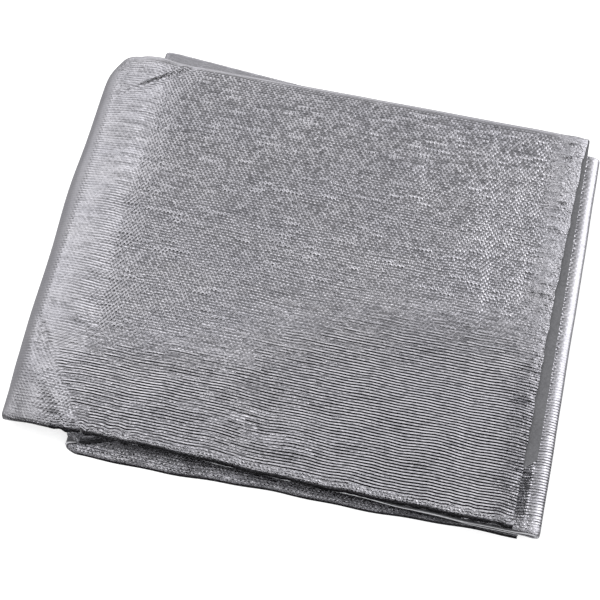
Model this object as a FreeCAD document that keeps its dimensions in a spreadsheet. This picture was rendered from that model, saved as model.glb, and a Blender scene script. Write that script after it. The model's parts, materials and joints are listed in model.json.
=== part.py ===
import FreeCAD, Part
import Sketcher
import math
import os

# Aluminised foam sleeping pad, folded flat into its carrying packet.
#
# One long laminate (metallised film / woven scrim / closed-cell foam) is folded
# in half along its length, foam to foam, so that film is on both outer faces and
# the folded edge lies at the back (+Y), the two cut edges at the front (-Y).
# The doubled strip is then folded like a concertina across its length into six
# panels, panel_1 at the bottom and panel_6 on top.  The five creases lie along Y:
#   crease_1  left   panel_1 | panel_2
#   crease_2  right  panel_2 | panel_3
#   crease_3  left   panel_3 | panel_4
#   crease_4  right  panel_4 | panel_5
#   crease_5  left   panel_5 | panel_6
# Every crease is a half round, and each panel owns the quarter round next to it.
# The two quarters meet at the outermost line of the half round.
#
# Frame: origin at the centre of the packet's footprint on the surface it rests
# on, X along the packet's long side (-X left, +X right), Y along its short side
# (+Y is the folded back edge), Z up.  Millimetres.

doc = FreeCAD.newDocument("folded_foam_pad")

# ------------------------------------------------------------ driving sizes
# alias, value or formula, note
SIZES = [
    ("packet_depth", "250.0", "front cut edges to folded back edge, Y"),
    ("film_thick", "0.1", "metallised film with its tie layer"),
    ("scrim_thick", "0.2", "woven polyethylene tape scrim"),
    ("foam_thick", "1.1", "closed-cell polyethylene foam"),
    ("half_gap", "0.1", "air between the two foam faces of the doubled strip"),
    ("panel_gap", "0.3", "air between neighbouring panels of the packet"),
    ("crease_one", "-122.0", "X of the outermost line of crease 1, left"),
    ("crease_two", "149.0", "X of the outermost line of crease 2, right"),
    ("crease_three", "-141.0", "X of the outermost line of crease 3, left"),
    ("crease_four", "152.0", "X of the outermost line of crease 4, right"),
    ("crease_five", "-152.0", "X of the outermost line of crease 5, left"),
    ("bottom_end", "143.0", "X of the cut end of panel 1, right"),
    ("top_end", "144.5", "X of the cut end of panel 6, right"),
    ("layer_thick", "=film_thick + scrim_thick + foam_thick", "one laminate"),
    ("strip_thick", "=2 * layer_thick + half_gap", "doubled strip"),
    ("pitch", "=strip_thick + panel_gap", "panel to panel, Z"),
    ("bend_outer", "=strip_thick + panel_gap / 2", "outer radius of a crease"),
    ("front_y", "=packet_depth / 2", "front cut edges lie at minus this Y"),
    ("back_centre", "=packet_depth / 2 - strip_thick / 2", "Y of the back fold's centre"),
    # distances from the strip's mid line, also the radii of the back fold
    ("film_out", "=strip_thick / 2", "outer face of the film"),
    ("film_in", "=film_out - film_thick", "film to scrim"),
    ("scrim_in", "=film_in - scrim_thick", "scrim to foam"),
    ("foam_in", "=half_gap / 2", "inner face of the foam"),
    ("axis_drop", "=strip_thick / 2 + panel_gap / 2", "strip mid line to crease axis"),
]
sheet = doc.addObject("Spreadsheet::Sheet", "sizes")
for row, (alias, content, note) in enumerate(SIZES, start=1):
    sheet.set("A%d" % row, alias)
    sheet.set("B%d" % row, content)
    sheet.set("C%d" % row, note)
    sheet.setAlias("B%d" % row, alias)
doc.recompute()


def size(alias):
    return float(getattr(sheet, alias))


# ------------------------------------------------------------ layer section
# Sketch edges, in the order they are drawn
(OUTER_LOW, OUTER_BEND, OUTER_HIGH, CUT_HIGH,
 INNER_HIGH, INNER_BEND, INNER_LOW, CUT_LOW) = range(8)
# Points of an edge, and the sketch's own H axis, whose start is the origin
START, END, CENTRE = 1, 2, 3
H_AXIS = -1
ORIGIN = (H_AXIS, START)


def yz_plane(body):
    for feature in body.Origin.OriginFeatures:
        if getattr(feature, "Role", "") == "YZ_Plane":
            return feature
    raise RuntimeError("no origin plane YZ_Plane")


def bind_size(sketch, name, alias, kind, *where):
    """Add a dimension, starting at the size it is then bound to."""
    index = sketch.addConstraint(Sketcher.Constraint(kind, *where, size(alias)))
    sketch.renameConstraint(index, name)
    sketch.setExpression("Constraints." + name, "sizes." + alias)


def u_sketch(body, name, outer, inner, side, x_place, z_place):
    """Section of one layer of the doubled strip, parallel to the YZ plane.

    A U lying on its side, its bend at +Y and its two cut ends at -Y.  Its mid
    line lies on the sketch's H axis (side 0), or axis_drop above it (+1) or
    below it (-1).  x_place and z_place are expressions that place the H axis.
    """
    sketch = body.newObject("Sketcher::SketchObject", name)
    sketch.AttachmentSupport = [(yz_plane(body), "")]
    sketch.MapMode = "FlatFace"

    front, back = -size("front_y"), size("back_centre")
    mid = side * size("axis_drop")
    outer_radius, inner_radius = size(outer), size(inner)

    def line(start_y, start_rise, end_y, end_rise):
        return Part.LineSegment(
            FreeCAD.Vector(start_y, mid + start_rise, 0),
            FreeCAD.Vector(end_y, mid + end_rise, 0),
        )

    def back_bend(radius):
        circle = Part.Circle(FreeCAD.Vector(back, mid, 0), FreeCAD.Vector(0, 0, 1), radius)
        return Part.ArcOfCircle(circle, -math.pi / 2, math.pi / 2)

    edges = [
        line(front, -outer_radius, back, -outer_radius),
        back_bend(outer_radius),
        line(back, outer_radius, front, outer_radius),
        line(front, outer_radius, front, inner_radius),
        line(front, inner_radius, back, inner_radius),
        back_bend(inner_radius),
        line(back, -inner_radius, front, -inner_radius),
        line(front, -inner_radius, front, -outer_radius),
    ]
    sketch.addGeometry(edges, False)

    rules = [
        ("Coincident", OUTER_LOW, END, OUTER_BEND, START),
        ("Coincident", OUTER_BEND, END, OUTER_HIGH, START),
        ("Coincident", OUTER_HIGH, END, CUT_HIGH, START),
        ("Coincident", CUT_HIGH, END, INNER_HIGH, START),
        ("Coincident", INNER_HIGH, END, INNER_BEND, END),
        ("Coincident", INNER_BEND, START, INNER_LOW, START),
        ("Coincident", INNER_LOW, END, CUT_LOW, START),
        ("Coincident", CUT_LOW, END, OUTER_LOW, START),
        ("Coincident", OUTER_BEND, CENTRE, INNER_BEND, CENTRE),
        ("Horizontal", OUTER_LOW),
        ("Horizontal", OUTER_HIGH),
        ("Horizontal", INNER_HIGH),
        ("Horizontal", INNER_LOW),
        ("Vertical", CUT_HIGH),
        ("Vertical", CUT_LOW),
        ("Vertical", OUTER_BEND, START, OUTER_BEND, CENTRE),
        ("Vertical", OUTER_BEND, END, OUTER_BEND, CENTRE),
        ("Vertical", INNER_BEND, START, INNER_BEND, CENTRE),
        ("Vertical", INNER_BEND, END, INNER_BEND, CENTRE),
        ("Vertical", CUT_HIGH, START, CUT_LOW, END),
    ]
    sketch.addConstraint([Sketcher.Constraint(*rule) for rule in rules])

    centre = (OUTER_BEND, CENTRE)
    bind_size(sketch, "outer", outer, "Radius", OUTER_BEND)
    bind_size(sketch, "inner", inner, "Radius", INNER_BEND)
    bind_size(sketch, "back", "back_centre", "DistanceX", *ORIGIN, *centre)
    bind_size(sketch, "front", "front_y", "DistanceX", OUTER_LOW, START, *ORIGIN)
    if side == 0:
        sketch.addConstraint(Sketcher.Constraint("PointOnObject", *centre, H_AXIS))
    elif side > 0:
        bind_size(sketch, "rise", "axis_drop", "DistanceY", *ORIGIN, *centre)
    else:
        bind_size(sketch, "drop", "axis_drop", "DistanceY", *centre, *ORIGIN)

    # the offset's z runs along the packet's X, its y along the packet's Z
    sketch.setExpression("AttachmentOffset.Base.z", x_place)
    sketch.setExpression("AttachmentOffset.Base.y", z_place)
    return sketch


# ------------------------------------------------------------ panels
# level, left X, right X, left turn, right turn
# (a turn goes up +1 or down -1 to the neighbouring panel, 0 is a cut end)
PANELS = [
    (1, "crease_one", "bottom_end", 1, 0),
    (2, "crease_one", "crease_two", -1, 1),
    (3, "crease_three", "crease_two", 1, -1),
    (4, "crease_three", "crease_four", -1, 1),
    (5, "crease_five", "crease_four", 1, -1),
    (6, "crease_five", "top_end", -1, 0),
]
# layer, outer face, inner face
LAYERS = [
    ("film", "film_out", "film_in"),
    ("scrim", "film_in", "scrim_in"),
    ("foam", "scrim_in", "foam_in"),
]


def flat_end(alias, turn, inward):
    """Expression for the X where the flat stops; inward is the sign of the way in."""
    if not turn:
        return "sizes." + alias
    return "(sizes.%s %s sizes.bend_outer)" % (alias, inward)


def add_bend(body, end, crease, turn, x_place, mid_z, outer, inner):
    """Add the quarter round at the left or right end of a panel's layer."""
    flat_volume = body.Shape.Volume
    name = "%s_%s_bend" % (body.Label, end)
    axis_z = "%s + (%d) * sizes.axis_drop" % (mid_z, turn)
    # the axis is on the side it turns to, so the section is on the other side of it
    section = u_sketch(body, name + "_section", outer, inner, -turn, x_place, axis_z)
    bend = body.newObject("PartDesign::Revolution", name)
    bend.Profile = section
    bend.ReferenceAxis = (section, ["H_Axis"])
    bend.Angle = 90.0
    # a positive turn about +Y carries a section below the axis to -X, one above it to +X
    bend.Reversed = (end == "left") == (turn < 0)
    doc.recompute()
    if "Invalid" in bend.State or bend.Shape.isNull():
        raise RuntimeError("%s failed" % name)

    # each layer stops short of the crease line by its depth below the film's face
    inset = size("film_out") - size(outer)
    box = body.Shape.optimalBoundingBox(False)
    if end == "left":
        miss = box.XMin - (size(crease) + inset)
    else:
        miss = box.XMax - (size(crease) - inset)
    if abs(miss) > 0.01 or body.Shape.Volume <= flat_volume:
        raise RuntimeError("%s does not reach its crease" % name)


def build_layer(panel, layer, outer, inner):
    """One layer of one panel: the flat, then its quarter rounds."""
    level, left, right, left_turn, right_turn = panel
    mid_z = "((%d) * sizes.pitch + sizes.strip_thick / 2)" % (level - 1)
    x_left = flat_end(left, left_turn, "+")
    x_right = flat_end(right, right_turn, "-")

    label = "panel_%d_%s" % (level, layer)
    body = doc.addObject("PartDesign::Body", label)
    body.Label = label
    flat = body_section = u_sketch(body, label + "_section", outer, inner, 0, x_left, mid_z)
    pad = body.newObject("PartDesign::Pad", label + "_flat")
    pad.Profile = flat
    pad.setExpression("Length", "%s - %s" % (x_right, x_left))
    doc.recompute()

    if left_turn:
        add_bend(body, "left", left, left_turn, x_left, mid_z, outer, inner)
    if right_turn:
        add_bend(body, "right", right, right_turn, x_right, mid_z, outer, inner)
    return body


pieces = [build_layer(panel, *layer) for panel in PANELS for layer in LAYERS]
doc.recompute()

# ------------------------------------------------------------ export
for thing in doc.Objects:
    if "Invalid" in thing.State or "Error" in thing.State:
        raise RuntimeError("%s is %s" % (thing.Name, thing.State))
for body in pieces:
    if body.Shape.isNull() or not body.Shape.isValid() or len(body.Shape.Solids) != 1:
        raise RuntimeError("%s has no single valid solid" % body.Label)

os.makedirs("parts", exist_ok=True)
for body in pieces:
    body.Shape.exportStep("parts/%s.step" % body.Label)
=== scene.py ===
# A foam strip with a metallised film facing, doubled lengthwise and zigzag folded into a flat
# packet of six panels. X runs along the panels: odd creases are at the left (-X), even ones at
# the right (+X). The lengthwise fold lies at the back (+Y), the strip's two long edges at the
# front (-Y). Panel 1 lies on the floor, panel 6 on top. Shapes are worked out in millimetres.
import bpy, json, math
from collections import namedtuple
import numpy as np
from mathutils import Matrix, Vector

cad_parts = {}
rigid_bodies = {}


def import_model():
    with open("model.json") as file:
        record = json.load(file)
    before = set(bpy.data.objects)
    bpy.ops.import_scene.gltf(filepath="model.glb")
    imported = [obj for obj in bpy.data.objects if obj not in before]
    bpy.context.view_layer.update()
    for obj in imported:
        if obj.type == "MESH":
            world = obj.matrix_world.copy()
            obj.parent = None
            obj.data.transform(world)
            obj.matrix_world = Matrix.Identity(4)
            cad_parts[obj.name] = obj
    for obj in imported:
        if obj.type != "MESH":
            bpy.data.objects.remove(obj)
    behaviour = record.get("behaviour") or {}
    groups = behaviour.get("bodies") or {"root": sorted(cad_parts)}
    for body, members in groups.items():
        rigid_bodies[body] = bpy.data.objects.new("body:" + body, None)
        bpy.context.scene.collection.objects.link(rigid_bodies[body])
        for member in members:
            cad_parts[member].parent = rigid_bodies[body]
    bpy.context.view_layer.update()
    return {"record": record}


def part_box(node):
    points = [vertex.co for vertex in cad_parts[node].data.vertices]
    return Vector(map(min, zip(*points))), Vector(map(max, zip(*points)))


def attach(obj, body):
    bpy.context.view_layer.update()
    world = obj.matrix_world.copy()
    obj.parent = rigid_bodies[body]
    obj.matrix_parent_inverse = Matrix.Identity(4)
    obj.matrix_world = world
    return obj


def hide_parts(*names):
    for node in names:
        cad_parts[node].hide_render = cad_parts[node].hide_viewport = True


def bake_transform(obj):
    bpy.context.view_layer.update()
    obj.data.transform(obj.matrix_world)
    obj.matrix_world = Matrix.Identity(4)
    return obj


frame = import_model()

# ---------------------------------------------------------------- the frame
MM = 0.001
JOINT = {int(j["name"].split("_")[1]): j for j in frame["record"]["behaviour"]["joints"]}
CREASE_X = {j: joint["pos_m"][0] / MM for j, joint in JOINT.items()}  # outermost line
CREASE_Z = {j: joint["pos_m"][2] / MM for j, joint in JOINT.items()}
PITCH = CREASE_Z[2] - CREASE_Z[1]  # from panel to panel
GAP = 2 * (PITCH - CREASE_Z[1])
THICK = PITCH - GAP  # the doubled strip
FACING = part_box("panel_1_foam")[0].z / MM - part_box("panel_1_film")[0].z / MM
FOAM = 1.1
HALF_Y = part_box("panel_3_film")[1].y / MM
TOP_END_X = (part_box("panel_6_film")[1] / MM).x  # cut end of panel 6
BOTTOM_END_X = (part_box("panel_1_film")[1] / MM).x  # cut end of panel 1

# One row per panel. First how far its corners stand off the nominal rectangle in Y. Then the
# upper half's front lip: its bend radius and how far it hangs. Then how far the lower half's
# front edge stands out (+) or back (-) of the upper one's. Last the lengthwise fold at the
# back: extra roundness in Y, and sag.
Edge = namedtuple("Edge", "left_back left_front right_back right_front"
                          " bend hang lower_out round_out sag")
EDGES = {
    1: Edge(13.0, -12.6, -8.0, -5.6, 1.7, 1.75, -13.0, 0.0, 0.0),
    2: Edge(13.5, 2.0, -9.0, -1.2, 1.2, 1.7, -0.6, 0.4, 0.1),
    3: Edge(-4.5, 1.5, -10.0, -4.0, 0.6, 0.5, 0.4, 0.0, 0.0),
    4: Edge(-4.0, 2.0, -14.0, -6.5, 0.6, 0.6, -0.4, 0.0, 0.0),
    5: Edge(-4.5, 1.5, -14.0, -6.5, 0.6, 0.5, 0.5, 0.0, 0.0),
    6: Edge(-4.0, -4.0, -2.6, -5.6, 2.2, 3.2, -1.2, 1.6, 0.5),
}
CORNER_LEFT, CORNER_SPAN = -140, 284.0  # X where the left corners are measured, and to the right


# ------------------------------------------------------------ smooth fields
def noise_field(seed, count, shortest, longest, stretch=1.0):
    """Smooth field of seeded waves, about -1..1; stretch > 1 draws it out along X."""
    rng = np.random.RandomState(seed)
    angle = rng.uniform(0, math.tau, count)
    wave = np.exp(rng.uniform(math.log(shortest), math.log(longest), count))
    phase = rng.uniform(0, math.tau, count)
    along_x = np.cos(angle) / wave * math.tau / stretch
    along_y = np.sin(angle) / wave * math.tau
    height = (wave / longest) ** 0.8
    height = height / math.sqrt((height ** 2).sum() / 2) * 0.5

    def field(x, y):
        x, y = np.broadcast_arrays(np.asarray(x, float), np.asarray(y, float))
        total = np.zeros(x.shape)
        for i in range(count):
            total = total + height[i] * np.sin(along_x[i] * x + along_y[i] * y + phase[i])
        return total

    return field


def ramp(start, end, x):
    """Smooth step: 0 at start, 1 at end, which may lie either side of start."""
    t = np.clip((np.asarray(x, float) - start) / (end - start), 0, 1)
    return t * t * (3 - 2 * t)


def wavy(x, wave, swing, slow, shift=0.0):
    """Sine of wavelength wave whose phase swings slowly."""
    return np.sin(x * math.tau / wave + swing * np.sin(x / slow) + shift)


def ridge(x, y, x0, y0, x1, y1, width, height, end=0.15):
    """A raised (or sunk) soft line from (x0, y0) to (x1, y1)."""
    dx, dy = x1 - x0, y1 - y0
    square = dx * dx + dy * dy
    t = ((x - x0) * dx + (y - y0) * dy) / square
    off = ((x - x0) * dy - (y - y0) * dx) / math.sqrt(square)
    ends = ramp(-end, end, t)
    return height * np.exp(-((off / width) ** 2)) * ends * (1 - ramp(1 - end, 1 + end, t))


SLACK = {k: noise_field(100 + k, 18, 60, 160) for k in range(2, 7)}
FINE = {k: noise_field(200 + k, 26, 12, 46) for k in range(1, 7)}
TOP_SHORT = noise_field(41, 34, 9, 30, stretch=1.6)
TOP_LONG = noise_field(42, 26, 26, 90)
TOP_STANDING = noise_field(43, 22, 9, 34)


# -------------------------------------------------------- panel surfaces
def inside(x, y):
    """1 in the middle of the packet, 0 at its outline."""
    across_x = np.clip(1 - (np.abs(x) / 152.0) ** 6, 0, 1)
    across_y = np.clip(1 - (np.abs(y) / 126.0) ** 6, 0, 1)
    return across_x * across_y


def droop(x, y):
    """How far the overhanging left end of panels 3 to 6 sinks, beyond panels 1 and 2."""
    out = ramp(0.0, 1.0, (-124.0 - x) / 22.0)
    return out * (3.4 + 0.9 * ramp(-60, -120, y) - 0.5 * ramp(60, 110, y))


def z_bottom(k, x, y):
    """Underside of panel k's lower film."""
    slack = 0.0
    for i in range(2, k + 1):
        slack = slack + (0.16 + 0.13 * SLACK[i](x, y)) * (0.25 + 0.75 * inside(x, y))
    # the stack settles towards the front right
    settle = (k - 1) * 0.27 * ramp(-30, -125, y) * ramp(-90, 120, x)
    z = (k - 1) * PITCH + slack - settle
    if k >= 3:
        z = z - droop(x, y)
    z = z + 0.05 * FINE[k](x, y) * (0.2 if k == 1 else 1.0)
    if k == 1:
        z = np.maximum(z, 0.0) + 0.03
    return z


def z_top(k, x, y):
    """Top of panel k's upper film, without the top panel's fine relief."""
    z = z_bottom(k, x, y) + THICK + 0.05 * (1 + FINE[k](x + 31, y - 17))
    if k == 6:
        # the top film stands clear of its foam in a crown: round towards the back,
        # a straighter slope towards the front
        crown_x = np.clip(1 - np.abs((x + 12) / 150.0) ** 2.6, 0, 1)
        behind = np.clip(1 - np.abs((y - 20) / 112.0) ** 2.2, 0, 1)
        ahead = np.clip(1 - (np.clip(20 - y, 0, None) / 150.0) ** 1.25, 0, 1)
        crown_y = np.where(y > 20, behind, ahead)
        z = z + 3.4 * crown_x ** 0.8 * crown_y + inside(x, y) * 0.2
        z = z - 0.010 * np.clip(y - 116, 0, 12) ** 2
    if k == 1:
        # the upper half slopes down to the front edge
        z = z - 0.105 * np.clip(-128.0 - y, 0, 9) - 0.25 * ramp(-100, -127, y)
    return z


# Soft lines in the top film: from x, y, to x, y, width, height
RIDGES = (
    # long ones, front to back
    (0, 118, -6, -90, 2.6, 0.22),
    (-62, -40, -70, -118, 2.4, 0.30),
    (18, -62, 12, -119, 2.4, 0.30),
    (96, 30, 100, -100, 3.0, 0.25),
    # back left corner
    (-141, 92, -102, 119, 1.7, -1.0),
    (-137, 96, -104, 121, 1.9, 0.55),
    (-148, 108, -112, 123, 3.4, 0.35),
    # front left corner
    (-148, -66, -113, -116, 1.8, -1.15),
    (-151, -78, -118, -122, 2.4, 0.55),
    (-146, -92, -120, -118, 3.4, 0.6),
    (-128, -119, -96, -124, 2.2, 0.5),
)


def relief(x, y):
    """Fine relief of the top film."""
    flat = inside(np.clip(x, -140, 152), y) ** 0.5
    # waves and standing wrinkles
    z = flat * (0.15 * TOP_SHORT(x, y) + 0.22 * TOP_LONG(x, y))
    z = z + 0.20 * flat * TOP_STANDING(x, y * 0.16) * (0.4 + 0.6 * ramp(20, 140, x))
    for line in RIDGES:
        z = z + ridge(x, y, *line)
    # puckers of the cut end at the right, from wide to narrow
    z = z + (ramp(112, 138, x) * 0.50 * wavy(y, 13.0, 2.2, 17.0)
             * (0.5 + 0.5 * np.sin(y / 9.0 + 1.0)))
    z = z + (ramp(122, 136, x) * (0.46 + 0.26 * np.sin(y / 8.0))
             * wavy(y, 6.1, 1.9, 6.0, 0.20 * (x - 130)))
    z = z + ramp(126, 138, x) * 0.24 * wavy(y, 3.7, 2.4, 4.3, -0.35 * (x - 130))
    # a swelling along the cut end, then the drop to the cut
    swell = 0.9 * np.exp(-(((x - 134.0) / 6.0) ** 2)) * (0.7 + 0.5 * np.sin(y / 11.0))
    drop = 1.3 * ramp(137.0, 144.0, x) * (1 + 0.35 * np.sin(y / 3.1 + np.sin(y / 7.0)))
    return z + swell - drop


def y_back(k, x):
    edge = EDGES[k]
    t = (x - CORNER_LEFT) / CORNER_SPAN
    y = HALF_Y + edge.left_back + (edge.right_back - edge.left_back) * t
    return y + 3.2 * ramp(-108, -134, x) if k == 6 else y


def y_front(k, x):
    x = np.asarray(x, float)
    edge = EDGES[k]
    t = (x - CORNER_LEFT) / CORNER_SPAN
    wave = -7.5 * ramp(-88, -116, x) if k == 2 else 0.0
    wave = wave + 0.55 * np.sin(x / (17.0 + 2 * k) + k * 1.7) + 0.25 * np.sin(x / 6.1 + k)
    return -HALF_Y + edge.left_front + (edge.right_front - edge.left_front) * t + wave


# ------------------------------------------------------- section of the strip
N_FINE = 130  # rows across an even panel's upper, an odd one's lower half
N_PLAIN = 62  # rows across the other half
N_FOLD = 26  # rows round the back fold
N_LIP = 12  # rows of each front lip
LIP = 5.0
WIDTH = 2 * HALF_Y - THICK / 2 - LIP
ROUND = math.pi * THICK / 2
GIRTH = 2 * LIP + 2 * WIDTH + ROUND
LOWER_LIP, LOWER, FOLD, UPPER, UPPER_LIP = range(5)


class Rows:
    """Rows round the strip's section, from the lower half's front edge to the upper half's."""

    def __init__(self, lower, upper):
        rows = (
            [(LOWER_LIP, i / N_LIP) for i in range(N_LIP)]
            + [(LOWER, i / lower) for i in range(lower)]
            + [(FOLD, i / N_FOLD) for i in range(N_FOLD + 1)]
            + [(UPPER, i / upper) for i in range(1, upper + 1)]
            + [(UPPER_LIP, i / N_LIP) for i in range(1, N_LIP + 1)]
        )
        self.kind = np.array([row[0] for row in rows])[None, :]
        self.at = np.array([row[1] for row in rows])[None, :]  # 0..1 within its kind
        start = np.array([0, LIP, LIP + WIDTH, LIP + WIDTH + ROUND, LIP + 2 * WIDTH + ROUND])
        span = np.array([LIP, WIDTH, ROUND, WIDTH, LIP])
        self.v = (start[self.kind] + span[self.kind] * self.at)[0]
        # 0 on the lower half, 1 on the upper half
        self.upper = np.where(self.kind == FOLD, self.at ** 2 * (3 - 2 * self.at),
                              (self.kind > FOLD) * 1.0)[0]


ROWS = (Rows(N_PLAIN, N_FINE), Rows(N_FINE, N_PLAIN))  # even panels, odd panels
NS = len(ROWS[0].v)


def section(k, x, fine=True):
    """Outer surface of panel k at x (n by rows): Y, Z and the outward normal's Y and Z."""
    kind, at = ROWS[k % 2].kind, ROWS[k % 2].at
    edge = EDGES[k]
    y_end = y_front(k, x)
    # the back fold, round y_fold
    half_fold = THICK / 2 + edge.round_out
    y_fold = y_back(k, x) - half_fold
    angle = (at - 0.5) * math.pi
    below, above = z_bottom(k, x, y_fold), z_top(k, x, y_fold)
    fold_y = y_fold + half_fold * np.cos(angle)
    fold_z = ((below + above) / 2 + (above - below) / 2 * np.sin(angle)
              - edge.sag * np.cos(angle) ** 1.4)
    # the lower half
    y_low = y_end - edge.lower_out
    low_lip_y = y_low + LIP * at
    lower_y = y_low + LIP + (y_fold - y_low - LIP) * at
    # the upper half and its lip, which bends down and then hangs
    y_lip = y_end + edge.bend
    upper_y = y_fold + (y_lip - y_fold) * at
    arc = edge.bend * math.pi / 2
    run = at * (arc + max(edge.hang - edge.bend, 0.0))
    turn = np.clip(run / edge.bend, 0, math.pi / 2)
    straight = np.clip(run - arc, 0, None)
    lip_y = y_lip - edge.bend * np.sin(turn) - 0.10 * straight
    lip_fall = -(edge.bend * (1 - np.cos(turn)) + straight)

    y_flat = np.choose(kind, (low_lip_y, lower_y, y_fold, upper_y, y_lip))
    bottom, top = z_bottom(k, x, y_flat), z_top(k, x, y_flat)
    y = np.choose(kind, (low_lip_y, lower_y, fold_y, upper_y, lip_y))
    z = np.choose(kind, (bottom, bottom, fold_z, top, top + lip_fall))
    if k == 6:
        # the lip is crumpled, most at both front corners
        rough = 0.30 + 0.9 * ramp(-50, -80, x) + 0.6 * ramp(80, 125, x)
        crumple = rough * (0.42 * wavy(x, 14.3, 2.6, 15.0) + 0.34 * wavy(x, 7.1, 2.1, 8.3))
        share = np.where(kind == UPPER_LIP, 1.0, np.where(kind == UPPER, at ** 40, 0.0))
        y = y + crumple * share
        z = z + 0.5 * np.roll(crumple, 3, axis=0) * share
        if fine:
            z = z + relief(x, y_flat) * ROWS[0].upper[None, :]
        # the upper half never sinks into the foam lying under it
        lowest = bottom + THICK + 0.06
        fall = np.where(kind == UPPER_LIP, lip_fall, 0.0)
        clear = z - fall - lowest
        clear = 0.5 * (clear + np.sqrt(clear * clear + 0.16))
        z = np.where(kind >= UPPER, lowest + clear + fall, z)
    dy = np.gradient(y, axis=1)
    dz = np.gradient(z, axis=1)
    length = np.sqrt(dy * dy + dz * dz) + 1e-9
    return y, z, dz / length, -dy / length


def sheet_object(name, surface, normals, depths, u, v, materials):
    """A closed thin solid between two depths below a grid of points (columns, rows, 3).

    Material 0 is the outer face, 1 the inner face, 2 the cut edges.
    """
    outer, inner = (surface - normals * depth for depth in depths)
    columns, rows = surface.shape[:2]
    verts = np.concatenate([outer.reshape(-1, 3), inner.reshape(-1, 3)]) * MM
    count = columns * rows
    grid = np.arange(count).reshape(columns, rows)
    a, b, c, d = grid[:-1, :-1], grid[1:, :-1], grid[1:, 1:], grid[:-1, 1:]
    top = np.stack([a, b, c, d], -1).reshape(-1, 4)
    bottom = np.stack([a, d, c, b], -1).reshape(-1, 4) + count

    def rim_down(p, q):
        return np.stack([p, p + count, q + count, q], -1)

    def rim_across(p, q):
        return np.stack([p, q, q + count, p + count], -1)

    rim = np.concatenate([
        rim_down(grid[:-1, 0], grid[1:, 0]),
        rim_across(grid[:-1, -1], grid[1:, -1]),
        rim_across(grid[0, :-1], grid[0, 1:]),
        rim_down(grid[-1, :-1], grid[-1, 1:]),
    ])
    faces = np.concatenate([top, bottom, rim])
    # turn all faces over if the solid's volume comes out negative
    triangles = faces[:, [0, 1, 2, 0, 2, 3]].reshape(-1, 3)
    p, q, r = (verts[triangles[:, i]] for i in range(3))
    if float(np.einsum("ij,ij->i", p, np.cross(q, r)).sum()) < 0:
        faces = faces[:, ::-1]
    corners = faces.reshape(-1)
    mesh = bpy.data.meshes.new(name)
    mesh.vertices.add(len(verts))
    mesh.vertices.foreach_set("co", verts.reshape(-1).astype(np.float32))
    mesh.loops.add(len(corners))
    mesh.loops.foreach_set("vertex_index", corners.astype(np.int32))
    mesh.polygons.add(len(faces))
    mesh.polygons.foreach_set("loop_start", (np.arange(len(faces)) * 4).astype(np.int32))
    mesh.update(calc_edges=True)
    for material in materials:
        mesh.materials.append(material)
    slots = np.repeat([0, 1, 2], [len(top), len(bottom), len(rim)]).astype(np.int32)
    mesh.polygons.foreach_set("material_index", slots)
    mesh.polygons.foreach_set("use_smooth", np.ones(len(faces), bool))
    uv = np.stack([np.tile(u.reshape(-1), 2)[corners], np.tile(v.reshape(-1), 2)[corners]], -1)
    layer = mesh.uv_layers.new(name="sheet")
    layer.data.foreach_set("uv", (uv * MM).reshape(-1).astype(np.float32))
    if mesh.validate():
        raise RuntimeError(name + " has bad faces")
    mesh.set_sharp_from_angle(angle=math.radians(55))
    ob = bpy.data.objects.new(name, mesh)
    bpy.context.scene.collection.objects.link(ob)
    return ob


# ------------------------------------------------- where each piece begins
SIDE = {j: (-1 if j % 2 else 1) for j in JOINT}  # -1 left, +1 right
REACH = {1: 9.0, 2: 9.0, 3: 10.0, 4: 20.0, 5: 29.0}  # crease piece, outermost line inwards
CREASE_END = {j: CREASE_X[j] - SIDE[j] * REACH[j] for j in JOINT}


def panel_limits(k):
    """Left and right X of panel k; odd panels run from right to left along the strip."""
    ends = (CREASE_END.get(k - 1, BOTTOM_END_X), CREASE_END.get(k, TOP_END_X))
    return ends[::-1] if k % 2 else ends


STRIP_START = {}  # length along the strip where each panel starts
along = 0.0
for k in range(1, 7):
    left, right = panel_limits(k)
    STRIP_START[k] = along
    along += right - left
    if k < 6:
        along += 2 * REACH[k] + (2.0 if k < 4 else 5.0)


def strip_u(k, x):
    left, right = panel_limits(k)
    return STRIP_START[k] + (right - x) if k % 2 else STRIP_START[k] + (x - left)


def strip_v(k):
    return ROWS[1].v if k % 2 else GIRTH - ROWS[0].v


# ------------------------------------------------------------------ panels
def spread(count, fine_right):
    """Positions 0..1, closer together towards the right end."""
    step = 1 / (1 + fine_right * ramp(0.85, 1.0, np.linspace(0, 1, count)))
    total = np.concatenate([[0], np.cumsum((step[1:] + step[:-1]) / 2)])
    return total / total[-1]


def ragged(y, seed):
    rng = np.random.RandomState(seed)
    total = 0
    for wave in (3.1, 5.3, 9.7, 17.0, 31.0):
        size = rng.uniform(0.5, 1.0) * (wave / 31.0) ** 0.4
        total = total + size * np.sin(y * math.tau / wave + rng.uniform(0, 6.28))
    return total / 2.0


def panel_x(k, t):
    """X of each column (at t) and row."""
    left, right = panel_limits(k)
    end = np.full(NS, right)
    rows = ROWS[k % 2]
    y = -HALF_Y + np.where(rows.v < GIRTH / 2, rows.v, GIRTH - rows.v)
    if k == 6:
        # the upper film is drawn back from the cut, most at the front
        back = (1.3 * ramp(124, 108, y) + 3.4 * np.clip((110 - y) / 100, 0, 1)
                + 1.8 * np.clip((10 - y) / 130, 0, 1))
        upper = TOP_END_X + 0.55 * ragged(y, 5) - back
        lower = TOP_END_X + 1.2 + 0.15 * ragged(y, 6) - 7.5 * ramp(-84, -92, y)
        end = lower + (upper - lower) * rows.upper
    if k == 1:
        end = BOTTOM_END_X + 0.5 * ragged(y, 7)
    return left + (end[None, :] - left) * t[:, None]


SKEW_FRONT, SKEW_BACK = 6.3, -4.8  # shift in X at the front and at the back


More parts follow.
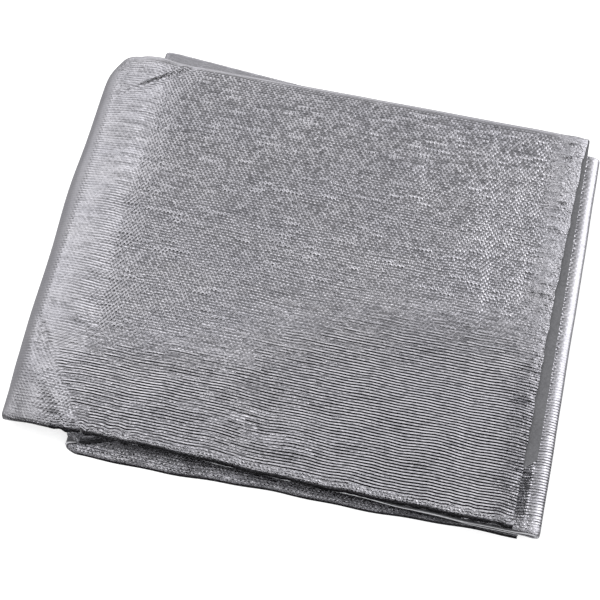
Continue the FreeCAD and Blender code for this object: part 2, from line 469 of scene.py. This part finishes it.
def skew(x, y):
    """Panels 1 and 2 lie askew: their left fold runs out at the back, in at the front."""
    shift = SKEW_FRONT + (SKEW_BACK - SKEW_FRONT) * (np.clip(y, -133, 136) + 133) / 269.0
    return shift * ramp(60, -110, x)


FACING_DEPTHS = (0.0, FACING)
FOAM_DEPTHS = (FACING + 0.02, FACING + FOAM)


def build_panel(k):
    count = {6: 200, 5: 80}.get(k, 60)
    x = panel_x(k, spread(count, fine_right=2.0 if k == 6 else 0.0))
    y, z, normal_y, normal_z = section(k, x)
    u = strip_u(k, x)
    v = np.broadcast_to(strip_v(k)[None, :], x.shape)
    if k <= 2:
        x = x + skew(x, y)
    surface = np.stack([x, y, z], -1)
    normals = np.stack([0.0 * x, normal_y, normal_z], -1)
    facing = sheet_object("facing_panel_%d" % k, surface, normals, FACING_DEPTHS, u, v,
                          FACING_MATERIALS)
    # the top foam takes every second column, always with the last
    keep = np.array(sorted(set(range(0, count, 2 if k == 6 else 1)) | {count - 1}))
    foam = sheet_object("foam_panel_%d" % k, surface[keep], normals[keep], FOAM_DEPTHS,
                        u[keep], v[keep], FOAM_MATERIALS)
    body = "panel_%d" % k
    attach(facing, body)
    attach(foam, body)
    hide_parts("panel_%d_film" % k, "panel_%d_scrim" % k)
    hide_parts("panel_%d_foam" % k)


# ----------------------------------------------------------------- creases
def smooth_curve(points, count):
    """Catmull-Rom curve without its two phantom end points, as count evenly spaced points."""
    parts = []
    t = np.linspace(0, 1, 24, endpoint=False)[:, None]
    for i in range(1, len(points) - 2):
        p0, p1, p2, p3 = points[i - 1:i + 3]
        parts.append(0.5 * (2 * p1 + (p2 - p0) * t + (2 * p0 - 5 * p1 + 4 * p2 - p3) * t ** 2
                            + (3 * p1 - p0 - 3 * p2 + p3) * t ** 3))
    parts.append(points[-2][None, :])
    path = np.concatenate(parts)
    length = np.concatenate([[0], np.cumsum(np.hypot(*np.diff(path, axis=0).T))])
    at = np.linspace(0, length[-1], count)
    return np.stack([np.interp(at, length, path[:, 0]), np.interp(at, length, path[:, 1])], -1)


def mid(k, x, y):
    return float((z_bottom(k, x, y) + z_top(k, x, y)) / 2)


def plain_fold(j, y):
    """Creases 1 to 3: a tight half round."""
    side, x_end, x_out = SIDE[j], CREASE_END[j], CREASE_X[j]
    x_in = x_out - side * (THICK / 2 + PITCH / 2)
    points = []
    for share in (0.5, 1.0):
        x = x_end + (x_in - x_end) * share
        points.append((x, mid(j, x, y)))
    low, high = mid(j, x_in, y), mid(j + 1, x_in, y)
    for degrees in (-45, 0, 45):
        angle = math.radians(degrees)
        points.append((x_in + (x_out - side * THICK / 2 - x_in) * math.cos(angle),
                       (low + high) / 2 + (high - low) / 2 * math.sin(angle)))
    points.append((x_in, high))
    x = x_end + (x_in - x_end) * 0.5
    points.append((x, mid(j + 1, x, y)))
    return points


# Crease 4: distance out from the crease piece's end, height over panel 4, share of wobble
FOLD_4 = (
    (8, 0.0, 0), (14.0, -0.2, 0), (17.2, -0.9, 0), (19.7, -1.0, 0),
    (20.6, 0.7, 0.3), (20.2, 2.5, 0.3), (17.8, 3.75, 0), (14.2, 4.05, 0),
)


def right_fold(y, low, high):
    """Crease 4, bulging a little below and above."""
    wobble = 0.35 * math.sin(y / 19.0) + 0.2 * math.sin(y / 7.3 + 1)
    points = []
    for out, up, share in FOLD_4:
        out = out + share * wobble
        points.append((CREASE_END[4] + out,
                       low + up + (high - low - 3.35) * ramp(14, 21, out) * 0.5))
    points.append((CREASE_END[4] + 8.0, high + 0.12))
    return points


# Crease 5: distance out, share of wobble, height, and what the height is measured from:
# the drooping panel 5 at that place, the same where it ends, or panel 6
FOLD_5 = (
    (9.0, 0, -0.1, "panel 5"), (15.0, 0, -0.1, "panel 5"),
    (18.6, 0, -0.7, "end"), (21.4, 0, -2.9, "end"), (22.9, 0, -5.7, "end"),
    (24.7, 0, -7.8, "end"), (27.4, 0, -8.6, "end"), (30.4, 0, -7.6, "end"),
    (31.8, 1, -5.0, "end"), (30.9, 1, -1.7, "end"), (28.2, 0.6, 1.3, "end"),
    (23.6, 0, 3.8, "end"),
    (17.4, 0, -2.2, "panel 6"), (11.0, 0, -0.85, "panel 6"), (5.0, 0, -0.15, "panel 6"),
)


def hanging_fold(y, low, high):
    """Crease 5, the big soft fold hanging over the overhanging end of the panels below it."""
    x_end = CREASE_END[5]
    back = float(ramp(96, 126, y))
    front = float(ramp(-92, -127, y))
    wobble = 0.8 * math.sin(y / 37.0 + 0.6) + 0.35 * math.sin(y / 13.0)
    end = low - float(droop(x_end - 24, y))
    centre = end - 0.6
    # the fold flattens and draws in towards the back and the front
    flatten = 0.62 * front + 0.25 * back
    shrink = (1.0 - 0.22 * back ** 2.2) * (1 - 0.075 * front)
    points = []
    for out, share, up, datum in FOLD_5:
        base = {"panel 5": low - float(droop(x_end - out, y)), "end": end, "panel 6": high}
        z = base[datum] + up
        out = out + share * wobble
        z = z + (centre - z) * float(ramp(14, 24, out)) * flatten
        points.append((x_end - out * (1 + (shrink - 1) * float(ramp(6, 22, out))), z))
    return points


def crease_curve(j, y, count):
    """Mid line of crease j at y, from the lower panel's end to the upper's: X and Z."""
    x_end = CREASE_END[j]
    x_before = x_end - SIDE[j] * 4
    low, high = mid(j, x_end, y), mid(j + 1, x_end, y)
    if j == 4:
        bend = right_fold(y, low, high)
    elif j == 5:
        bend = hanging_fold(y, low, high)
    else:
        bend = plain_fold(j, y)
    points = [(x_before, mid(j, x_before, y)), (x_end, low), *bend,
              (x_end, high), (x_before, mid(j + 1, x_before, y))]
    return smooth_curve(np.array(points, float), count)


def build_crease(j):
    side, x_end = SIDE[j], CREASE_END[j]
    below, above = j, j + 1
    count = {5: 64, 4: 48}.get(j, 30)
    # the panels' sections where they meet the crease; the upper one is turned over
    x_row = np.full((1, NS), x_end)
    y0, z0, normal_y0, normal_z0 = [row[0] for row in section(below, x_row, fine=False)]
    y1, z1, normal_y1, normal_z1 = [row[0][::-1] for row in section(above, x_row, fine=False)]
    off0 = -(z0 - np.array([mid(below, x_end, y) for y in y0]))
    off1 = z1 - np.array([mid(above, x_end, y) for y in y1])
    upper = ROWS[above % 2].upper[::-1]
    # curves at stations along Y, interpolated between them
    stations = np.linspace(-140, 140, 71)
    curves = np.array([crease_curve(j, y, count) for y in stations])
    surface = np.zeros((count, NS, 3))
    normals = np.zeros((count, NS, 3))
    weight = np.zeros((count, NS))
    along = np.linspace(0, 1, count)
    blend = ramp(0, 1, along)
    for i in range(count):
        y = y0 + (y1 - y0) * blend[i]
        if i in (0, count - 1):
            dx, dz = np.full(NS, float(side if i == 0 else -side)), np.zeros(NS)
        else:
            step = curves[:, i + 1] - curves[:, i - 1]
            dx = np.interp(y, stations, step[:, 0])
            dz = np.interp(y, stations, step[:, 1])
        length = np.hypot(dx, dz) + 1e-9
        out_x, out_z = side * dz / length, -side * dx / length
        offset = off0 + (off1 - off0) * blend[i]
        x = np.interp(y, stations, curves[:, i, 0]) + out_x * offset
        z = np.interp(y, stations, curves[:, i, 1]) + out_z * offset
        if j == 5:
            z = z + relief(x, y) * upper * ramp(0.42, 0.62, along[i])
        surface[i] = np.stack([x, y, z], -1)
        # the section's normal turned with the crease
        normal_y = normal_y0 + (normal_y1 - normal_y0) * blend[i]
        normal_out = -normal_z0 + (normal_z1 + normal_z0) * blend[i]
        length = np.hypot(normal_y, normal_out) + 1e-9
        normals[i] = np.stack([out_x * normal_out / length, normal_y / length,
                               out_z * normal_out / length], -1)
        # 0 facing down, 90 outwards, 180 up
        degrees = np.degrees(np.arctan2(side * out_x, -out_z))
        weight[i] = np.clip(degrees / 180.0, 0, 1)
    if j == 1:
        surface[..., 0] += skew(surface[..., 0], surface[..., 1])
    weight = np.maximum.accumulate(weight, axis=0)
    weight[0], weight[-1] = 0.0, 1.0
    u0, u1 = strip_u(below, x_end), strip_u(above, x_end)
    u = np.broadcast_to((u0 + (u1 - u0) * along)[:, None], (count, NS))
    v = np.broadcast_to(strip_v(below)[None, :], (count, NS))
    for name, depths, materials, slot in (
        ("facing_crease_%d" % j, FACING_DEPTHS, FACING_MATERIALS, "film"),
        ("foam_crease_%d" % j, FOAM_DEPTHS, FOAM_MATERIALS, "foam"),
    ):
        ob = sheet_object(name, surface, normals, depths, u, v, materials)
        CREASE_X[j] * MM
        CREASE_Z[j] * MM - 0.002
        CREASE_X[j] * MM
        CREASE_Z[j] * MM + 0.002
        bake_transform(ob)


# ------------------------------------------------------------- node graphs
def operator(operation, swapped=False):
    def apply(self, other):
        operands = (other, self) if swapped else (self, other)
        return self.graph.math(operation, *operands)

    return apply


class Signal:
    """Output of a shader node; arithmetic on it adds Math nodes."""

    def __init__(self, graph, socket):
        self.graph = graph
        self.socket = socket

    __add__, __radd__ = operator("ADD"), operator("ADD", swapped=True)
    __sub__, __rsub__ = operator("SUBTRACT"), operator("SUBTRACT", swapped=True)
    __mul__, __rmul__ = operator("MULTIPLY"), operator("MULTIPLY", swapped=True)
    __truediv__, __mod__, __pow__ = operator("DIVIDE"), operator("MODULO"), operator("POWER")

    def __abs__(self):
        return self.graph.math("ABSOLUTE", self)


class Graph:
    """Short hand for building the node tree of a material or world."""

    def __init__(self, owner):
        owner.use_nodes = True
        self.tree = owner.node_tree
        self.tree.nodes.clear()

    def node(self, kind, inputs=(), output=0, **properties):
        """Add a node; inputs are a sequence in socket order or a dict by socket."""
        node = self.tree.nodes.new(kind)
        for key, value in properties.items():
            setattr(node, key, value)
        for key, value in inputs.items() if isinstance(inputs, dict) else enumerate(inputs):
            if isinstance(value, Signal):
                self.tree.links.new(value.socket, node.inputs[key])
            else:
                node.inputs[key].default_value = value
        return Signal(self, node.outputs[output])

    def finish(self, shader, kind="ShaderNodeOutputMaterial"):
        self.tree.links.new(shader.socket, self.tree.nodes.new(kind).inputs[0])

    def math(self, operation, *operands, clamp=False):
        return self.node("ShaderNodeMath", operands, operation=operation, use_clamp=clamp)

    def xyz(self, x, y, z):
        return self.node("ShaderNodeCombineXYZ", (x, y, z))

    def split(self, vector):
        first = self.node("ShaderNodeSeparateXYZ", (vector,))
        return [Signal(self, socket) for socket in first.socket.node.outputs]

    def noise(self, vector, scale, detail, roughness=0.5):
        return self.node("ShaderNodeTexNoise", {"Vector": vector, "Scale": scale,
                                                "Detail": detail, "Roughness": roughness})

    def random(self, x, y, z):
        return self.node("ShaderNodeTexWhiteNoise", {"Vector": self.xyz(x, y, z)}, "Value")

    def cells(self, vector, scale):
        return self.node("ShaderNodeTexVoronoi", {"Vector": vector, "Scale": scale}, "Distance")

    def fit(self, value, span, to=(0.0, 1.0)):
        """Smooth step from to[0] at span[0] to to[1] at span[1]."""
        return self.node("ShaderNodeMapRange", (value, *span, *to),
                         interpolation_type="SMOOTHSTEP")

    def mix(self, factor, first, second):
        """Blend of two colours, each a signal or (r, g, b)."""
        first, second = (colour if isinstance(colour, Signal) else (*colour, 1.0)
                         for colour in (first, second))
        return self.node("ShaderNodeMix", {0: factor, 6: first, 7: second}, 2,
                         data_type="RGBA")

    def attribute(self, name):
        return self.node("ShaderNodeAttribute", output="Fac", attribute_name=name)

    def studio_white(self, value):
        """Grey of this brightness, very slightly blue."""
        return self.node("ShaderNodeCombineColor", [value * c for c in (0.985, 0.98, 1.02)])

    def by_ray(self, plain, glossy):
        """One shader for reflections, the other for all else."""
        is_glossy = self.node("ShaderNodeLightPath", output="Is Glossy Ray")
        return self.node("ShaderNodeMixShader", (is_glossy, plain, glossy))


# --------------------------------------------------------------- materials
RIB = 1.66  # pitch of the ribs across the strip, mm
STITCH = 2.35  # one woven crossing along the strip, mm; alternate rows shift half a step


def new_material(name):
    material = bpy.data.materials.new(name)
    return material, Graph(material)


def sheet_uv(g):
    """Position on the strip, mm: as a vector, along it and across it."""
    uv_map = g.node("ShaderNodeUVMap", uv_map="sheet")
    uv = g.node("ShaderNodeVectorMath", {0: uv_map, "Scale": 1000.0}, operation="SCALE")
    u, v, _ = g.split(uv)
    return uv, u, v


def finish_surface(g, colour, roughness, height, extra):
    """Principled surface with a bump; height in metres."""
    bump = g.node("ShaderNodeBump", {"Distance": 1.0, "Height": height})
    inputs = {"Base Color": colour, "Roughness": roughness, "Normal": bump, **extra}
    g.finish(g.node("ShaderNodeBsdfPrincipled", inputs))


def film_material(name):
    """Metallised film, ribbed along the strip over a weave."""
    material, g = new_material(name)
    uv, u, v = sheet_uv(g)
    rib, line, wear, dots = map(g.attribute, ("rib", "line", "wear", "dots"))
    broad = g.noise(g.xyz(u * 0.45, v, 3.0), scale=0.035, detail=3.0, roughness=0.55)
    medium = g.noise(g.xyz(u * 0.30, v, 9.0), scale=0.16, detail=3.0, roughness=0.6)
    # rows of ribs, wandering a little, and the stitches along them
    wander = (g.noise(g.xyz(u, v, 1.0), scale=0.03, detail=2.0) - 0.5) * 3.4
    across = (v + wander) / RIB
    row = g.math("FLOOR", across)
    in_row = across - row
    stitches = u / STITCH + row % 2.0 * 0.5
    stitch = g.math("FLOOR", stitches)
    in_stitch = stitches - stitch
    # one random value for each stitch, for each 9 mm run of a row, and another per stitch
    run = g.math("FLOOR", u / 9.0 + g.random(row, 3.7, 0.0) * 7.0)
    stitch_random = g.random(row, stitch, 1.0)
    run_random = g.random(row, run, 2.0)
    dot_random = g.random(row, stitch, 5.0)
    wave = 0.5 - 0.5 * g.math("COSINE", in_row * math.tau)
    # strong ribs run on unbroken; elsewhere they break up into woven crossings
    unbroken = g.fit(line, span=(0.15, 1.0))
    broken = 1.0 - unbroken
    # sharp ribs: one steep flank, flat crown, other flank longer; wider as ribs strengthen
    strength = line * (0.62 + run_random * 0.55 + stitch_random * 0.15)
    flank = g.fit(strength, span=(0.10, 1.30), to=(0.012, 0.52))
    rise = in_row / flank
    fall = (1.0 - in_row) / (flank * g.fit(line, span=(0.6, 1.2), to=(1.17, 0.94)))
    steep = g.fit(line, span=(0.5, 1.25), to=(0.74, 0.85))
    sharp = g.math("MINIMUM", g.math("MINIMUM", rise, fall), 1.0) * (flank * steep)
    # painted shade: marks the steep face of each sharp rib, which the colour below turns near
    # black
    steep_face_shade = g.fit(rise, span=(0.85, 1.10), to=(1.0, 0.0)) * unbroken
    bulge = g.math("SINE", in_stitch * math.pi) ** 0.7
    crossing = bulge * (broken * 0.8) + (1.0 - broken * 0.8)
    # woven ribs, with a run of stitches standing up here and there
    size = rib * (g.fit(broad, span=(0.35, 0.68), to=(0.85, 1.12)) * (0.78 + run_random * 0.36))
    stand = (g.fit(run_random, span=(0.84, 0.93), to=(0.0, 0.75))
             * g.fit(medium, span=(0.42, 0.58), to=(0.15, 1.0)))
    size = size + stand * broken * dots
    # above a certain strength woven ribs turn into low triangular ones
    low_rib = g.fit(rib, span=(0.47, 0.62))
    height = wave * (broken * (1.0 - low_rib)) * crossing * (size * 0.25)
    triangle = 1.0 - abs(in_row * 2.0 - 1.0)
    height = height + triangle * low_rib * (0.14 + run_random * 0.07)
    height = height + sharp
    # dots on the crossings
    dot = bulge ** 2.6 * g.math("SINE", in_row * math.pi)
    dot_share = dots * ((0.12 + broken * 0.88) * (1.0 - low_rib * 0.6))
    height = height + dot * dot_share * (0.09 + dot_random * 0.15)
    # grain, small dents, broad unevenness
    height = height + g.noise(uv, scale=1.15, detail=1.0) * dots * 0.10
    dents = g.noise(g.xyz(u * 0.6, v, 5.0), scale=0.55, detail=2.0, roughness=0.6)
    height = height + dents * 0.055
    height = height + medium * 0.10
    # crackle of handled film, and round knots in the puckers
    crackle = 1.0 - 2.0 * abs(g.noise(uv, scale=0.33, detail=3.0, roughness=0.6) - 0.5)
    height = height + crackle * wear * 1.1
    knot = g.cells(g.xyz(u * 0.8, v + medium * 3.0, 2.0), scale=0.27)
    height = height + (1.0 - knot * knot) * g.attribute("bead") * 1.15

    colour = g.mix(g.fit(broad, span=(0.3, 0.7)), (0.735, 0.730, 0.760), (0.790, 0.782, 0.800))
    # painted shade: the colour darkens at the groove between rows of ribs, standing in for the
    # shade there
    groove_shade = g.fit(in_row, span=(0.0, 0.16), to=(1.0, 0.0))
    # painted highlight: a near-white glint coloured onto the crown of each woven crossing
    painted_glint = g.fit(dot * (0.3 + stitch_random), span=(0.55, 1.1))
    dark_stitch = g.fit(stitch_random, span=(0.0, 0.5), to=(1.0, 0.0))
    for factor, tint in (
        # painted shade in the grooves between the ribs
        (groove_shade * 0.45, (0.30, 0.30, 0.32)),
        # painted highlight on the crossings
        (painted_glint * dots * 0.9, (0.98, 0.97, 0.99)),
        (dark_stitch * dots * 0.5, (0.38, 0.38, 0.40)),
        (wear * crackle * 0.25, (0.60, 0.60, 0.62)),
        # painted shade: the steep faces of the sharp ribs are coloured near black, standing in
        # for the dark they reflect
        (steep_face_shade * 0.92, (0.03, 0.03, 0.035)),
        # the underside of the front lip lies in its own shade
        (g.attribute("lip") * 0.86, (0.04, 0.04, 0.045)),
    ):
        colour = g.mix(factor, colour, tint)
    roughness = 0.07 + run_random * 0.07 + (medium * 0.07 + wear * 0.05)
    roughness = roughness * (1.0 - unbroken * 0.5)
    # the stretched skin on the folds is satin
    roughness = roughness + g.fit(dots, span=(0.1, 0.8), to=(0.20, 0.0))
    finish_surface(g, colour, roughness, height * MM, {"Metallic": 1.0})
    return material


def foam_material(name, dark, light, cell):
    """Closed cell foam with cells of this size in mm: soft mottling, slightly waxy skin."""
    material, g = new_material(name)
    _, u, v = sheet_uv(g)
    cells = g.cells(g.xyz(u, v, 0.0), scale=1.0 / cell)
    small_cells = g.cells(g.xyz(u, v, 4.0), scale=2.6 / cell)
    mottling = g.noise(g.xyz(u, v, 2.0), scale=0.05, detail=4.0, roughness=0.6)
    lightness = g.math("ADD", (1.0 - cells) * 0.45, mottling * 0.6, clamp=True)
    height = cells * -0.10 + small_cells * -0.05
    roughness = g.fit(cells, span=(0.0, 0.8), to=(0.62, 0.45))
    finish_surface(g, g.mix(lightness, dark, light), roughness, height * MM,
                   {"Sheen Weight": 0.15})
    return material


def scrim_material(name):
    """Back of the facing: a fine crossed weave of slit tapes, 1.4 mm apart along the strip."""
    material, g = new_material(name)
    uv, u, v = sheet_uv(g)
    weave = g.math("SINE", u * (math.tau / 1.4)) * g.math("SINE", v * (math.tau / RIB))
    broad = g.noise(uv, scale=0.08, detail=3.0)
    lightness = g.math("ADD", weave * 0.2, broad, clamp=True)
    colour = g.mix(lightness, (0.20, 0.20, 0.21), (0.42, 0.42, 0.44))
    roughness = g.fit(broad, span=(0.3, 0.7), to=(0.45, 0.6))
    finish_surface(g, colour, roughness, weave * 0.00003, {})
    return material


film = film_material("film_aluminium")
scrim = scrim_material("scrim_weave")
film_edge = foam_material("facing_cut_edge", (0.10, 0.10, 0.11), (0.30, 0.30, 0.32), cell=0.5)
foam_skin = foam_material("foam_skin", (0.07, 0.07, 0.075), (0.17, 0.17, 0.18), cell=1.3)
foam_cut = foam_material("foam_cut_edge", (0.30, 0.30, 0.32), (0.66, 0.66, 0.69), cell=0.7)
FACING_MATERIALS = (film, scrim, film_edge)
FOAM_MATERIALS = (foam_skin, foam_skin, foam_cut)


# --------------------------------------- point values for the film's nodes
def facet(x, y):
    """1 inside the pinched facet at the front left corner."""
    off = ((x + 148) * -50 + (y + 66) * -35) / 61.0
    return ramp(-1.5, 1.5, off) * ramp(-128.5, -122, y)


def rib_strength(x, y):
    rib = 0.07 + 0.31 * ramp(0, -100, y) + 0.10 * ramp(60, 130, x)
    left_end = ramp(-96, -126, x) * ramp(-150.5, -145, x)
    rib = rib + 0.62 * left_end * (1 - 0.8 * ramp(-40, -100, y))
    # the facet carries low bright ribs
    rib = rib + (0.56 - rib) * facet(x, y)
    # ribs die out on the outermost skin of the folds
    rib = (rib * (1 - 0.9 * ramp(117.0, 119.5, y)) * (1 - 0.85 * ramp(-148.5, -151.5, x))
           * (1 - 0.55 * ramp(145.5, 148, x)))
    return np.where(y < -128.5, 0.22, rib)


def line_strength(x, y):
    """Sharp unbroken ribs and the painted shade on their steep faces: strongest towards the
    front right, and a patch by the facet.
    """
    line = 1.45 * ramp(38, -92, y) * (0.18 + 0.82 * ramp(-115, 100, x)) * ramp(-165, -60, x)
    line = line + 0.74 * ramp(-45, -95, y) * ramp(10, -100, x)
    line = line * (1 - facet(x, y)) * ramp(-127.5, -124, y)
    return (line * (1 - 0.85 * ramp(-146, -151.5, x)) * (1 - 0.2 * ramp(128, 140, x))
            * (1 - 0.5 * ramp(142.5, 145, x)))


def dot_strength(x, y):
    """Woven dots and the painted highlights on them, fading on the folds and towards the left
    end.
    """
    dots = 1.0 - 0.85 * ramp(116.0, 119.0, y)
    dots = dots * (1 - 0.45 * ramp(-112, -130, x))
    return dots * (1 - 0.9 * ramp(-147.5, -151, x)) * (1 - 0.8 * ramp(145.5, 148, x))


def wear_strength(x, y):
    """Wear near the right end, along both long edges and at the left corners."""
    wear = ramp(120, 136, x) * ramp(146, 142, x)
    wear = wear + ramp(-40, 0, -(HALF_Y - np.abs(y)) * 10) * 0.35
    wear = wear + 0.35 * ramp(-118, -150, x) * ramp(80, 125, np.abs(y))
    return np.clip(wear, 0, 1)


def paint(ob):
    count = len(ob.data.vertices)
    places = np.zeros(count * 3, np.float32)
    ob.data.vertices.foreach_get("co", places)
    places = places.reshape(-1, 3)[: count // 2] / MM  # the outer face comes first
    x, y = places[:, 0], places[:, 1]
    lip = np.zeros(len(x))  # shade under the front lip
    if ob.name.startswith("facing_panel_"):
        k = int(ob.name[-1])
        bend = EDGES[k].bend
        lip = ramp(0.56 * bend + 0.15, 0.30 * bend, y - y_front(k, x))
    bead = np.zeros(len(x))  # puckers of the cut end and of the front left lip
    if ob.name == "facing_panel_6":
        bead = ramp(129.5, 133.5, x) * ramp(143.5, 140.5, x) * (0.55 + 0.45 * ramp(40, -90, y))
        bead = bead + (0.5 * ramp(-118, -124, y) * ramp(-60, -100, x)
                       * ramp(-128.5, -126, y))
    for name, values in (
        ("rib", rib_strength(x, y)),
        ("line", line_strength(x, y)),
        ("wear", wear_strength(x, y)),
        ("dots", dot_strength(x, y)),
        ("lip", lip),
        ("bead", bead),
    ):
        attribute = ob.data.attributes.new(name, "FLOAT", "POINT")
        attribute.data.foreach_set("value", np.tile(values, 2).astype(np.float32))


for k in range(1, 7):
    build_panel(k)
for j in range(1, 6):
    build_crease(j)
for ob in list(bpy.context.scene.collection.objects):
    if ob.name.startswith("facing_"):
        paint(ob)

# ------------------------------------------------------------------ studio
AZIMUTH = math.radians(12.62)  # camera, turned from the front towards the right
ELEVATION = math.radians(64.52)


def floor_material():
    """White floor; reflections see it dark, lighter on the camera's side."""
    material, g = new_material("studio_floor_white")
    diffuse = g.node("ShaderNodeBsdfDiffuse", ((0.74, 0.74, 0.74, 1),))
    glow = g.node("ShaderNodeEmission", ((1, 1, 1, 1), 0.55))
    plain = g.node("ShaderNodeAddShader", (diffuse, glow))
    x, y, _ = g.split(g.node("ShaderNodeNewGeometry", output="Incoming"))
    towards = x * math.sin(AZIMUTH) - y * math.cos(AZIMUTH)
    brightness = g.fit(towards, span=(-0.12, 0.18), to=(0.03, 0.33))
    glossy = g.node("ShaderNodeEmission", (g.studio_white(brightness),))
    g.finish(g.by_ray(plain, glossy))
    return material


def build_floor():
    mesh = bpy.data.meshes.new("studio_floor")
    mesh.from_pydata([(-3, -3, 0), (3, -3, 0), (3, 3, 0), (-3, 3, 0)], [], [(0, 1, 2, 3)])
    floor = bpy.data.objects.new("studio_floor", mesh)
    bpy.context.scene.collection.objects.link(floor)
    floor.location.z = -0.0003
    mesh.materials.append(floor_material())


# Reflected sky: degrees from the horizon behind the packet, over the top, to the horizon at
# the camera's side; brightness
SKY = (
    (0, 1.0), (13, 1.10), (22, 0.95), (34, 0.42), (48, 0.23), (58, 0.24), (66, 0.26),
    (72, 0.33), (77, 0.70), (82, 1.35), (92, 1.30), (97, 0.25), (102, 0.006), (148, 0.008),
    (157, 0.26), (166, 0.46), (180, 0.50),
)


def build_world():
    """White light all round; only reflections see the bands and soft boxes."""
    world = bpy.data.worlds.new("studio")
    bpy.context.scene.world = world
    g = Graph(world)
    x, y, up = g.split(g.node("ShaderNodeTexCoord", output="Generated"))
    # direction away from the camera, and to its right
    away = x * -math.sin(AZIMUTH) + y * math.cos(AZIMUTH)
    right = x * math.cos(AZIMUTH) + y * math.sin(AZIMUTH)
    degrees = g.math("ARCTAN2", up, away) * (180 / math.pi)
    sky = g.node("ShaderNodeValToRGB", (g.math("DIVIDE", degrees, 180.0, clamp=True),))
    stops = sky.socket.node.color_ramp.elements
    stops[0].color = (SKY[0][1],) * 3 + (1,)
    stops[1].color = (SKY[-1][1],) * 3 + (1,)
    for angle, grey in SKY[1:-1]:
        stops.new(angle / 180.0).color = (grey, grey, grey, 1)
    # dimmer at the left, a step down right of the middle, brighter at the far right
    base = sky * g.fit(right, span=(-0.48, -0.18), to=(0.80, 1.0))
    base = base * (g.fit(right, span=(-0.04, 0.14), to=(1.0, 0.79))
                   * g.fit(right, span=(0.28, 0.52), to=(1.0, 1.5)))
    # low down, the bands end at both sides in an even grey
    beside = (g.fit(abs(right), span=(0.40, 0.60))
              * g.fit(up, span=(0.35, 0.55), to=(1.0, 0.0)))
    base = base * (1.0 - beside) + beside * 0.28
    # two tall soft boxes, right back and left back
    boxes = (g.fit(right, span=(0.45, 0.62), to=(0.0, 1.3))
             + g.fit(right, span=(-0.46, -0.34), to=(0.36, 0.0))
             * g.fit(right, span=(-0.84, -0.70)))
    boxes = boxes * g.fit(away, span=(-0.05, 0.12))
    boxes = boxes * g.fit(up, span=(0.70, 0.86), to=(1.0, 0.0))
    box_strength = 1.0
    glossy = g.node("ShaderNodeBackground", (g.studio_white(base + boxes * box_strength),))
    plain = g.node("ShaderNodeBackground", ((1, 1, 1, 1), 1.0))
    g.finish(g.by_ray(plain, glossy), "ShaderNodeOutputWorld")


def build_light():
    light = bpy.data.lights.new("soft_top_light", "AREA")
    light.shape = "RECTANGLE"
    light.size, light.size_y = 1.2, 0.8
    light.energy = 6.0
    ob = bpy.data.objects.new("soft_top_light", light)
    bpy.context.scene.collection.objects.link(ob)
    ob.location = (-0.2, 0.35, 1.1)
    aim = Vector((0, 0, 0)) - ob.location
    ob.rotation_euler = aim.to_track_quat("-Z", "Y").to_euler()
    ob.visible_glossy = False
    ob.visible_camera = False


def build_camera():
    lens = bpy.data.cameras.new("camera")
    lens.sensor_width = 36.0
    lens.lens = 89.922
    lens.clip_start, lens.clip_end = 0.01, 20
    camera = bpy.data.objects.new("camera", lens)
    bpy.context.scene.collection.objects.link(camera)
    target = Vector((-4.3, -18.9, 10.0)) * MM
    distance = 0.8768
    back = Vector((math.sin(AZIMUTH) * math.cos(ELEVATION),
                   -math.cos(AZIMUTH) * math.cos(ELEVATION), math.sin(ELEVATION)))
    camera.location = target + back * distance
    camera.rotation_mode = "QUATERNION"
    camera.rotation_quaternion = (-back).to_track_quat("-Z", "Y")
    bpy.context.scene.camera = camera
    bpy.context.scene.view_settings.view_transform = "Standard"


build_floor()
build_world()
build_light()
build_camera()
